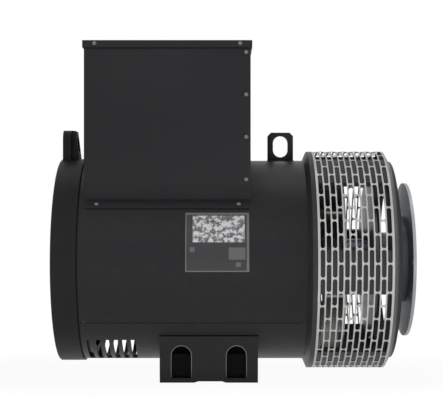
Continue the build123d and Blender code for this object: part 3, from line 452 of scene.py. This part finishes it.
def add_screw(mesh, place, size):
    """A pan head with a fine raised cross that stands for its recess, placed by its frame."""
    radius, height, cross = size.head, size.height, size.cross
    part = bmesh.new()
    bmesh.ops.create_cone(part, cap_ends=True, segments=28, radius1=radius, radius2=radius,
                          depth=height, matrix=Matrix.Translation((0, 0, height / 2)))
    top = [e for e in part.edges if all(v.co.z > height * 0.9 for v in e.verts)]
    bmesh.ops.bevel(part, geom=top, offset=height * 0.55, segments=4, profile=0.5,
                    affect="EDGES", material=-1)
    for turn in (pi / 4, -pi / 4):
        bar = Matrix.Diagonal((cross, cross * 0.2, height * 0.12, 1))
        arm = Matrix.Translation((0, 0, height)) @ Matrix.Rotation(turn, 4, "Z") @ bar
        bmesh.ops.create_cube(part, size=1, matrix=arm)
    bmesh.ops.transform(part, matrix=place, verts=part.verts)
    join(mesh, part)


def join(mesh, part):
    """Copy one bmesh into another and free it."""
    data = bpy.data.meshes.new("join")
    part.to_mesh(data)
    part.free()
    mesh.from_mesh(data)
    bpy.data.meshes.remove(data)


def stamp(mesh, part, place):
    """Copy one bmesh into another at a frame, and keep the first."""
    moved = part.copy()
    bmesh.ops.transform(moved, matrix=place, verts=moved.verts)
    join(mesh, moved)


def add_bead(mesh, path, width, ripple):
    """A rippled weld bead along a list of frames, each with local z away from the metal."""
    crest = bmesh.new()
    bmesh.ops.create_uvsphere(crest, u_segments=10, v_segments=6, radius=1)
    for place in path:
        stamp(mesh, crest, place @ Matrix.Diagonal((ripple * 0.75, width / 2, width * 0.22, 1)))
    crest.free()


def box_matrix(low, high):
    """The matrix that turns a unit cube into the box between two corners."""
    size = high - low
    return Matrix.Translation((low + high) / 2) @ Matrix.Diagonal((*size, 1))


def add_box(mesh, low, high, edge):
    """A box between two corners with its edges rounded over."""
    part = bmesh.new()
    bmesh.ops.create_cube(part, size=1, matrix=box_matrix(low, high))
    if edge:
        bmesh.ops.bevel(part, geom=list(part.edges), offset=edge, segments=2, profile=0.5,
                        affect="EDGES", material=-1)
    join(mesh, part)


def add_patch(mesh, x0, x1, low, high, radius):
    """A thin curved patch on the shell between two angles above the horizontal."""
    part = bmesh.new()
    places = [radial(x, high, radius).translation for x in (x0, x1)]
    ends = [bmesh.ops.create_vert(part, co=place)["vert"][0] for place in places]
    line = part.edges.new(ends)
    bmesh.ops.spin(part, geom=[*ends, line], axis=(1, 0, 0), cent=(0, 0, 0),
                   steps=max(2, int((high - low) / 1.5)), angle=radians(high - low))
    bmesh.ops.recalc_face_normals(part, faces=part.faces)
    join(mesh, part)


def add_rim(mesh, x, side, size):
    """The bared edge of a foot's arched window, following the plate's lean near the floor."""
    part = bmesh.new()
    half, foot, crown = size.window / 2, size.sill, size.crown
    middle = (x, side * size.face, crown - half)

    def vertex(dx, z):
        """A corner of the rim's outline on the plate's face."""
        return bmesh.ops.create_vert(part, co=(x + dx, side * size.face, z))["vert"][0]

    line = [vertex(half, z) for z in (foot, size.bend, crown - half)]
    for pair in zip(line, line[1:]):
        part.edges.new(pair)
    arch = bmesh.ops.spin(part, geom=[line[-1]], axis=(0, -1, 0), cent=middle, steps=16, angle=pi)
    top = [v for v in arch["geom_last"] if isinstance(v, bmesh.types.BMVert)][0]
    down = [top] + [vertex(-half, z) for z in (size.bend, foot)]
    for pair in zip(down, down[1:]):
        part.edges.new(pair)
    bmesh.ops.transform(part, matrix=Matrix.Translation((0, -side * size.lean, 0)),
                        verts=[v for v in part.verts if v.co.z < size.bend - 1e-4])
    grown = bmesh.ops.extrude_edge_only(part, edges=list(part.edges))["geom"]
    verts = [v for v in grown if isinstance(v, bmesh.types.BMVert)]
    centred = Matrix.Translation((x, 0, crown - half))
    scale = 1 - size.rim / half
    shrink = centred @ Matrix.Diagonal((scale, 1, scale, 1)) @ centred.inverted()
    bmesh.ops.transform(part, matrix=shrink, verts=verts)
    bmesh.ops.transform(part, matrix=Matrix.Translation((0, side * RIM_STAND, 0)), verts=part.verts)
    join(mesh, part)


def cut_away(made, cutter, solver="EXACT"):
    """Subtract a bmesh from an object and keep the result as its mesh."""
    data = bpy.data.meshes.new("cutter")
    cutter.to_mesh(data)
    cutter.free()
    blade = bpy.data.objects.new("cutter", data)
    bpy.context.scene.collection.objects.link(blade)
    cut = made.modifiers.new("cut", "BOOLEAN")
    cut.operation = "DIFFERENCE"
    cut.solver = solver
    cut.object = blade
    graph = bpy.context.evaluated_depsgraph_get()
    result = bpy.data.meshes.new_from_object(made.evaluated_get(graph))
    made.modifiers.clear()
    made.data = result
    bpy.data.objects.remove(blade)
    return result


def spread(start, end, count):
    """A number of evenly spaced values from start to end."""
    return [start + (end - start) * i / (count - 1) for i in range(count)]


def stepped(start, end, step):
    """Values from start to end, spaced by about a step."""
    return spread(start, end, max(2, int(abs(end - start) / step)))


# ------------------------------------------------------------------ operators
class ALT_OT_finishes(Operator):
    """Build the shared effects and every slot's material, and paint the CAD nodes"""

    bl_idname = "alternator.finishes"
    bl_label = "Paint the Frame"

    def execute(self, context):
        looks = context.scene.alternator_finish
        GROUPS["grain"] = build_grain()
        GROUPS["wear"] = build_wear()
        GROUPS["dust"] = build_dust()
        steel = (0.3, 0.3, 0.3)
        wear = looks.wear
        # Hardly any wear on paint: its mask runs across the wide flat faces of a mesh and blotches them.
        material("black_paint", looks.paint, 0.42, grain=1300, bump=0.03, stretch=(0.25, 1, 1),
                 vary=0.025, worn=steel, wear=wear * 0.03, dust=0.002, gloss=0.22)
        material("cast_black", looks.casting, 0.5, grain=650, bump=0.3, vary=0.06, worn=steel,
                 wear=wear * 0.05, dust=0.008, gloss=0.15)
        material("screen_steel", looks.bare, 0.42, 0.5, grain=1500, bump=0.08, vary=0.1, dust=0.0)
        material("disc_steel", looks.disc, 0.42, 1.0, grain=1200, bump=0.08, dust=0.0)
        material("machined_steel", looks.hub, 0.36, 1.0, grain=900, bump=0.1, dust=0.0)
        material("bright_steel", (0.6, 0.6, 0.6), 0.25, 1.0, grain=1500, bump=0.04, dust=0.0)
        material("enamelled_copper", looks.copper, 0.3, 0.1, grain=700, bump=0.25, stretch=(1, 3, 3),
                 coat=0.4)
        material("lamination_steel", (0.13, 0.13, 0.14), 0.42, 0.7, grain=2200, bump=0.2,
                 stretch=(4, 0.3, 0.3))
        material("cast_aluminium", looks.aluminium, 0.42, 0.55, grain=600, bump=0.25, vary=0.06, dust=0.0)
        material("moulded_plastic", (0.05, 0.05, 0.055), 0.4, grain=1400, bump=0.06)
        material("gasket_rubber", (0.022, 0.022, 0.024), 0.75, grain=2000, bump=0.2)
        material("label_foil", looks.label, 0.36, 0.2, grain=1600, bump=0.03, dust=0.0)
        material("plated_metal", (0.6, 0.58, 0.5), 0.28, 1.0, grain=1500, bump=0.05, dust=0.0)
        material("dark_fasteners", (0.15, 0.15, 0.16), 0.3, 1.0, grain=1500, bump=0.05, worn=steel, wear=wear)
        # The drive-end bracket takes a lighter copy of the casting paint; its extra lightness is painted
        # light for the light the bracket catches.
        bracket_painted_light = material("bracket_paint_painted_light", looks.bracket_painted_light, 0.42, grain=520, bump=0.45, vary=0.08,
                           worn=steel, wear=wear * 0.15, dust=0.006, gloss=0.2)
        for entry in frame["record"]["subparts"]:
            data = frame["nodes"][entry["node"]].data
            data.materials.clear()
            slot = entry["material_slot"]
            data.materials.append(bracket_painted_light if entry["node"] == "de_bracket" else finish(slot))
        return {"FINISHED"}


class ALT_OT_screen(Operator):
    """Roll the fan screen with its rows of round-ended slots"""

    bl_idname = "alternator.screen"
    bl_label = "Fan Screen"

    def execute(self, context):
        size = context.scene.alternator_screen
        low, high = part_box("fan_screen")
        shell = bmesh.new()
        inner = SCREEN_RADIUS - size.wall
        middle = (low.x + high.x) / 2
        half = (high.x - low.x) / 2
        corners = [(-half, inner), (half, inner), (half, SCREEN_RADIUS), (-half, SCREEN_RADIUS)]
        ring = [shell.verts.new((middle + x, 0, r)) for x, r in corners]
        edges = [shell.edges.new((ring[i], ring[(i + 1) % 4])) for i in range(4)]
        bmesh.ops.spin(shell, geom=ring + edges, axis=(1, 0, 0), cent=(0, 0, 0), steps=200, angle=tau,
                       use_merge=True)
        bmesh.ops.remove_doubles(shell, verts=shell.verts, dist=1e-6)
        bmesh.ops.recalc_face_normals(shell, faces=shell.faces)
        slot_length = tau / size.slots * SCREEN_RADIUS - size.bridge
        cutter = bmesh.new()
        depth = 10 * MM
        slot = Matrix.Diagonal((size.slot_width, slot_length, depth, 1))
        bmesh.ops.create_cube(cutter, size=1, matrix=slot)
        upright = [e for e in cutter.edges if abs(e.verts[0].co.z - e.verts[1].co.z) > depth / 2]
        bmesh.ops.bevel(cutter, geom=upright, offset=size.slot_width * ROUND_SHARE, segments=5, profile=0.5,
                        affect="EDGES", material=-1)
        cutters = bmesh.new()
        for column in range(size.columns):
            x = middle + size.pitch * (column - (size.columns - 1) / 2)
            for k in range(size.slots):
                stamp(cutters, cutter, radial(x, 360 / size.slots * (k + 0.5 * (column % 2)), inner))
        cutter.free()
        made = piece("fan_screen_sheet", shell, "screen_steel", replaces=("fan_screen",), smooth=False)
        result = cut_away(made, cutters, "FAST")
        if len(result.polygons) < size.slots * size.columns:
            raise RuntimeError("the slots weren't cut")
        return {"FINISHED"}


class ALT_OT_screws(Operator):
    """Give the box's screws pan heads with crosses"""

    bl_idname = "alternator.screws"
    bl_label = "Box Screws"

    def execute(self, context):
        size = context.scene.alternator_screws
        for name, side in (("front_panel_screws", -1), ("rear_panel_screws", 1)):
            low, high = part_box(name)
            seat = (low.y + size.height) if side < 0 else (high.y - size.height)
            mesh = bmesh.new()
            columns = (high.x - size.head,) if side < 0 else (high.x - size.head, low.x + size.head)
            for x in columns:
                for z in spread(low.z + size.head, high.z - size.head, PANEL_SCREW_ROWS):
                    add_screw(mesh, facing(x, z, seat), size)
            piece(f"{name}_heads", mesh, "dark_fasteners", replaces=(name,))
        low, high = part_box("lid_screws")
        mesh = bmesh.new()
        for x in (low.x + size.head, high.x - size.head):
            for y in (low.y + size.height, high.y - size.height):
                add_screw(mesh, facing(x, (low.z + high.z) / 2, y), size)
        piece("lid_screw_heads", mesh, "dark_fasteners", replaces=("lid_screws",))
        low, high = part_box("skirt_screws")
        mesh = bmesh.new()
        for x in (low.x + size.head, high.x - size.head):
            for angle in (size.skirt_angle, 180 - size.skirt_angle):
                add_screw(mesh, radial(x, angle, SHELL_RADIUS + size.skirt), size)
        piece("skirt_screw_heads", mesh, "dark_fasteners", replaces=("skirt_screws",))
        return {"FINISHED"}


class ALT_OT_plates(Operator):
    """Model the front panel, the lifting lug, and the ledges and window rims of the feet, with near-black
    webs of painted shade behind the windows
    """

    bl_idname = "alternator.plates"
    bl_label = "Panel, Lug and Foot Webs"

    def execute(self, context):
        size = context.scene.alternator_plates
        mesh = bmesh.new()
        add_box(mesh, *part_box("box_front_panel"), size.edge)
        piece("front_panel_sheet", mesh, "black_paint", replaces=("box_front_panel",))
        low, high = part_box("lifting_lug")
        mesh = bmesh.new()
        bmesh.ops.create_cube(mesh, size=1, matrix=box_matrix(low, high))
        upper = [e for e in mesh.edges if all(v.co.z > high.z - 1e-6 for v in e.verts)]
        top = [e for e in upper if abs(e.verts[0].co.y - e.verts[1].co.y) > 1e-4]
        bmesh.ops.bevel(mesh, geom=top, offset=size.lug_corner, segments=1, profile=0.5,
                        affect="EDGES", material=-1)
        bmesh.ops.bevel(mesh, geom=list(mesh.edges), offset=size.edge, segments=2, profile=0.5,
                        affect="EDGES", material=-1)
        cutter = bmesh.new()
        middle = Vector(((low.x + high.x) / 2, 0, size.eye_centre))
        half = Vector((size.eye_width / 2, EYE_CUT, size.eye_height / 2))
        bmesh.ops.create_cube(cutter, size=1, matrix=box_matrix(middle - half, middle + half))
        sides = [e for e in cutter.edges if abs(e.verts[0].co.y - e.verts[1].co.y) > 1e-3]
        bmesh.ops.bevel(cutter, geom=sides, offset=size.eye_width * ROUND_SHARE, segments=12, profile=0.5,
                        affect="EDGES", material=-1)
        lug = piece("lifting_lug_plate", mesh, "black_paint", replaces=("lifting_lug",))
        cut_away(lug, cutter)
        mesh, ledges = bmesh.new(), bmesh.new()
        for name, side in (("foot_front", -1), ("foot_rear", 1)):
            low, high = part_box(name)
            inner = low.y if side > 0 else high.y
            outer = inner + side * size.web
            z = -((SHELL_RADIUS - WEB_SINK) ** 2 - inner**2) ** 0.5
            lip = low.y if side < 0 else high.y
            back = lip - side * LEDGE_DEPTH
            ledge_low = Vector((low.x - LEDGE_OVERHANG, min(lip, back), high.z - LEDGE_DROP))
            ledge_high = Vector((high.x + LEDGE_OVERHANG, max(lip, back), high.z + LEDGE_RISE))
            add_box(ledges, ledge_low, ledge_high, size.edge)
            web_low = Vector((low.x, min(inner, outer), low.z + size.base))
            add_box(mesh, web_low, Vector((high.x, max(inner, outer), z)), 0.0)
        # The webs take a near-black finish, darker than the frame paint: painted shade for the hollow inside
        # the feet.
        painted_shade = material("painted_shade_black", (0.003, 0.003, 0.003), 0.8, 0.0)
        piece("foot_webs_of_painted_shade", mesh, "black_paint", look=painted_shade)
        piece("foot_top_ledges", ledges, "black_paint")
        rims = bmesh.new()
        low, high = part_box("foot_front")
        for side in (-1, 1):
            for x in (high.x - WINDOW_FROM_DRIVE_END, low.x + WINDOW_FROM_REAR):
                add_rim(rims, x, side, size)
        bared = material("bared_edge", (0.16, 0.16, 0.165), 0.35, 0.9)
        piece("foot_window_rims", rims, "machined_steel", look=bared)
        return {"FINISHED"}


class ALT_OT_label(Operator):
    """Lay out the bare rating label: its border, its mottled data field and its plain blocks"""

    bl_idname = "alternator.label"
    bl_label = "Rating Label"

    def execute(self, context):
        size = context.scene.alternator_label
        low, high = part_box("rating_label")
        skin = SHELL_RADIUS + LABEL_STAND
        wide, tall = high.x - low.x, size.high - size.low
        border = bmesh.new()
        edge = size.border
        rise = edge / skin * 180 / pi
        for x0, x1, a0, a1 in (
            (low.x, high.x, size.high - rise, size.high),
            (low.x, high.x, size.low, size.low + rise * 0.5),
            (low.x, low.x + edge * 0.5, size.low, size.high),
            (high.x - edge, high.x, size.low, size.high),
        ):
            add_patch(border, x0, x1, a0, a1, skin)
        rim_look = material("label_border", size.frame, 0.4, 0.1, grain=1500, bump=0.03, dust=0)
        piece("label_border", border, "label_foil", look=rim_look)

        def add_share(mesh, x0, x1, a0, a1):
            """A patch of print over these shares of the label."""
            add_patch(mesh, low.x + wide * x0, low.x + wide * x1,
                      size.low + tall * a0, size.low + tall * a1, skin + PRINT_STAND)

        field = bmesh.new()
        add_share(field, *LABEL_FIELD)
        field_look = mottled("label_field", size.field, (0.09, 0.095, 0.11))
        piece("label_data_field", field, "label_foil", look=field_look)
        blocks = bmesh.new()
        for shares in LABEL_BLOCKS:
            add_share(blocks, *shares)
        block_look = material("label_blocks", size.block, 0.4, 0.1, grain=1500, bump=0.03, dust=0)
        piece("label_blocks", blocks, "label_foil", look=block_look)
        return {"FINISHED"}


class ALT_OT_welds(Operator):
    """Lay the weld beads and plug welds of the shell, lug and feet, and the rust on the seams"""

    bl_idname = "alternator.welds"
    bl_label = "Welds"

    def execute(self, context):
        size = context.scene.alternator_welds
        shell_low, shell_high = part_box("stator_frame")
        seams = bmesh.new()
        along = stepped(shell_low.x, shell_high.x, size.ripple * 0.5)
        for angle in (SEAM_ANGLE, 180 - SEAM_ANGLE):
            path = [radial(x, angle, SHELL_RADIUS - SEAM_SINK) for x in along]
            add_bead(seams, path, size.bead * 0.6, size.ripple)
        piece("shell_seam_beads", seams, "black_paint")
        lug_low, lug_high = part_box("lifting_lug")
        bead = bmesh.new()
        along = stepped(lug_low.x, lug_high.x, size.ripple * 0.5)
        for angle in (90 + LUG_WELD_ANGLE, 90 - LUG_WELD_ANGLE):
            path = [radial(x, angle, SHELL_RADIUS) for x in along]
            add_bead(bead, path, size.bead, size.ripple)
        piece("lug_weld_beads", bead, "black_paint")
        foot_low, foot_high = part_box("foot_front")
        foot_bead = bmesh.new()
        height = (SHELL_RADIUS**2 - foot_low.y**2) ** 0.5
        along = stepped(foot_low.x + size.bead, foot_high.x - size.bead, size.ripple * 0.5)
        for side in (-1, 1):
            lean = Matrix.Rotation(side * radians(-FOOT_BEAD_TILT), 4, "X")
            y = side * (abs(foot_low.y) - FOOT_BEAD_SINK)
            path = [Matrix.Translation((x, y, -height + FOOT_BEAD_SINK)) @ lean for x in along]
            add_bead(foot_bead, path, size.bead * 0.8, size.ripple)
        piece("foot_weld_beads", foot_bead, "black_paint")
        specks = bmesh.new()
        spots = (
            (shell_low.x + 9 * MM, SEAM_ANGLE + 0.4, 1.3 * MM),
            (shell_high.x - 7 * MM, SEAM_ANGLE - 0.2, 1.1 * MM),
            (shell_low.x + 260 * MM, SEAM_ANGLE, 0.8 * MM),
        )
        for x, angle, radius in spots:
            shape = Matrix.Diagonal((radius * 1.6, radius, 0.5 * MM, 1))
            for side in (angle, 180 - angle):
                place = radial(x, side, SHELL_RADIUS) @ shape
                bmesh.ops.create_icosphere(specks, subdivisions=2, radius=1, matrix=place)
        rust = material("rust", (0.28, 0.11, 0.045), 0.85, 0.0, grain=2500, bump=0.4)
        piece("shell_seam_rust", specks, "black_paint", look=rust)
        plugs = bmesh.new()
        dome = Matrix.Diagonal((size.plug, size.plug * 0.8, PLUG_RISE, 1))
        for x, angle in PLUG_WELDS:
            for side in (angle, 180 - angle):
                place = radial(x, side, SHELL_RADIUS - PLUG_SINK) @ dome
                bmesh.ops.create_uvsphere(plugs, u_segments=20, v_segments=10, radius=1, matrix=place)
        piece("shell_plug_welds", plugs, "black_paint")
        return {"FINISHED"}


def backdrop_rays(tree):
    """1 for the rays that see the white backdrop: straight ones, and those by way of gloss or glass."""
    path = tree.nodes.new("ShaderNodeLightPath")
    seen = maths(tree, "MAXIMUM", path.outputs["Is Camera Ray"], path.outputs["Is Glossy Ray"])
    return maths(tree, "MAXIMUM", seen, path.outputs["Is Transmission Ray"])


class ALT_OT_stage(Operator):
    """Set the floor, the lights, the backdrop and the camera"""

    bl_idname = "alternator.stage"
    bl_label = "Stage"

    def execute(self, context):
        size = context.scene.alternator_stage
        scene = context.scene
        low, high = cad_low, cad_high
        middle = (low + high) / 2
        ground = bmesh.new()
        level = Matrix.Translation((middle.x, 0, low.z))
        bmesh.ops.create_grid(ground, x_segments=1, y_segments=1, size=12, matrix=level)
        data = bpy.data.meshes.new("floor")
        ground.to_mesh(data)
        ground.free()
        floor = bpy.data.objects.new("floor", data)
        scene.collection.objects.link(floor)
        look = bpy.data.materials.new("floor")
        look.use_nodes = True
        tree = look.node_tree
        shader = tree.nodes["Principled BSDF"]
        shader.inputs["Base Color"].default_value = (*size.floor, 1)
        shader.inputs["Roughness"].default_value = 0.8
        shader.inputs["Emission Color"].default_value = (1, 1, 1, 1)
        place = tree.nodes.new("ShaderNodeTexCoord").outputs["Object"]
        across = node(tree, "ShaderNodeSeparateXYZ", {0: place})
        away = maths(tree, "ABSOLUTE", across.outputs["Y"], 0.0)
        # Painted shadow: the floor's glow is faint under the machine and rises to its full strength further
        # out.
        ramp = node(tree, "ShaderNodeMapRange", {"Value": away}, From_Min=FLOOR_GLOW_START,
                    From_Max=FLOOR_GLOW_END, To_Min=FLOOR_GLOW_IN_PAINTED_SHADOW, To_Max=size.bounce)
        tree.links.new(ramp.outputs[0], shader.inputs["Emission Strength"])
        white = node(tree, "ShaderNodeEmission", Color=(1, 1, 1, 1), Strength=1.0)
        share = maths(tree, "MULTIPLY", backdrop_rays(tree), BACKDROP_SHARE)
        swap = node(tree, "ShaderNodeMixShader", {0: share, 1: shader.outputs[0], 2: white.outputs[0]})
        tree.links.new(swap.outputs[0], tree.nodes["Material Output"].inputs["Surface"])
        data.materials.append(look)
        world = bpy.data.worlds.new("studio")
        scene.world = world
        world.use_nodes = True
        tree = world.node_tree
        tree.nodes.clear()
        seen = node(tree, "ShaderNodeBackground", Color=(1, 1, 1, 1), Strength=1.0)
        lit = node(tree, "ShaderNodeBackground", Color=(1, 1, 1, 1), Strength=0.05)
        sides = {0: backdrop_rays(tree), 1: lit.outputs[0], 2: seen.outputs[0]}
        swap = node(tree, "ShaderNodeMixShader", sides)
        node(tree, "ShaderNodeOutputWorld", {0: swap.outputs[0]})
        for name, place, power, wide, deep in LAMPS:
            lamp = bpy.data.lights.new(name, "AREA")
            lamp.shape = "RECTANGLE"
            lamp.size = wide
            lamp.size_y = deep
            lamp.energy = power
            holder = bpy.data.objects.new(name, lamp)
            holder.location = Vector(place) + Vector((middle.x + LAMP_SHIFT, 0, 0))
            holder.rotation_mode = "QUATERNION"
            holder.rotation_quaternion = (middle - holder.location).to_track_quat("-Z", "Y")
            scene.collection.objects.link(holder)
        lens = bpy.data.cameras.new("camera")
        lens.lens = size.lens
        lens.sensor_width = 36
        lens.clip_start, lens.clip_end = 0.05, 60
        camera = bpy.data.objects.new("camera", lens)
        camera.location = (CAMERA_X, -size.distance, size.height)
        camera.rotation_euler = (pi / 2, 0, 0)
        scene.collection.objects.link(camera)
        scene.camera = camera
        scene.view_settings.view_transform = "Standard"
        return {"FINISHED"}


class ALT_PT_panel(Panel):
    """The pieces of the alternator head, in the order in which they are built"""

    bl_idname = "ALT_PT_panel"
    bl_label = "Alternator Head"
    bl_space_type = "VIEW_3D"
    bl_region_type = "UI"
    bl_category = "Alternator"

    def draw(self, context):
        for operator in OPERATORS:
            self.layout.operator(operator.bl_idname)
        for name in SETTINGS:
            group = getattr(context.scene, name)
            for key in group.bl_rna.properties.keys():
                if key not in ("rna_type", "name"):
                    self.layout.prop(group, key)


OPERATORS = (
    ALT_OT_finishes, ALT_OT_screen, ALT_OT_plates, ALT_OT_screws, ALT_OT_label, ALT_OT_welds, ALT_OT_stage,
)
SETTINGS = {
    "alternator_finish": FinishSettings,
    "alternator_screen": ScreenSettings,
    "alternator_welds": WeldSettings,
    "alternator_screws": ScrewSettings,
    "alternator_plates": PlateSettings,
    "alternator_label": LabelSettings,
    "alternator_stage": StageSettings,
}


def register():
    for group in SETTINGS.values():
        bpy.utils.register_class(group)
    for name, group in SETTINGS.items():
        setattr(bpy.types.Scene, name, PointerProperty(type=group))
    for cls in (*OPERATORS, ALT_PT_panel):
        bpy.utils.register_class(cls)


def unregister():
    for cls in reversed((*OPERATORS, ALT_PT_panel)):
        bpy.utils.unregister_class(cls)
    for name, group in reversed(list(SETTINGS.items())):
        delattr(bpy.types.Scene, name)
        bpy.utils.unregister_class(group)


def main():
    register()
    for operator in OPERATORS:
        family, action = operator.bl_idname.split(".")
        getattr(getattr(bpy.ops, family), action)()


if __name__ == "__main__":
    main()
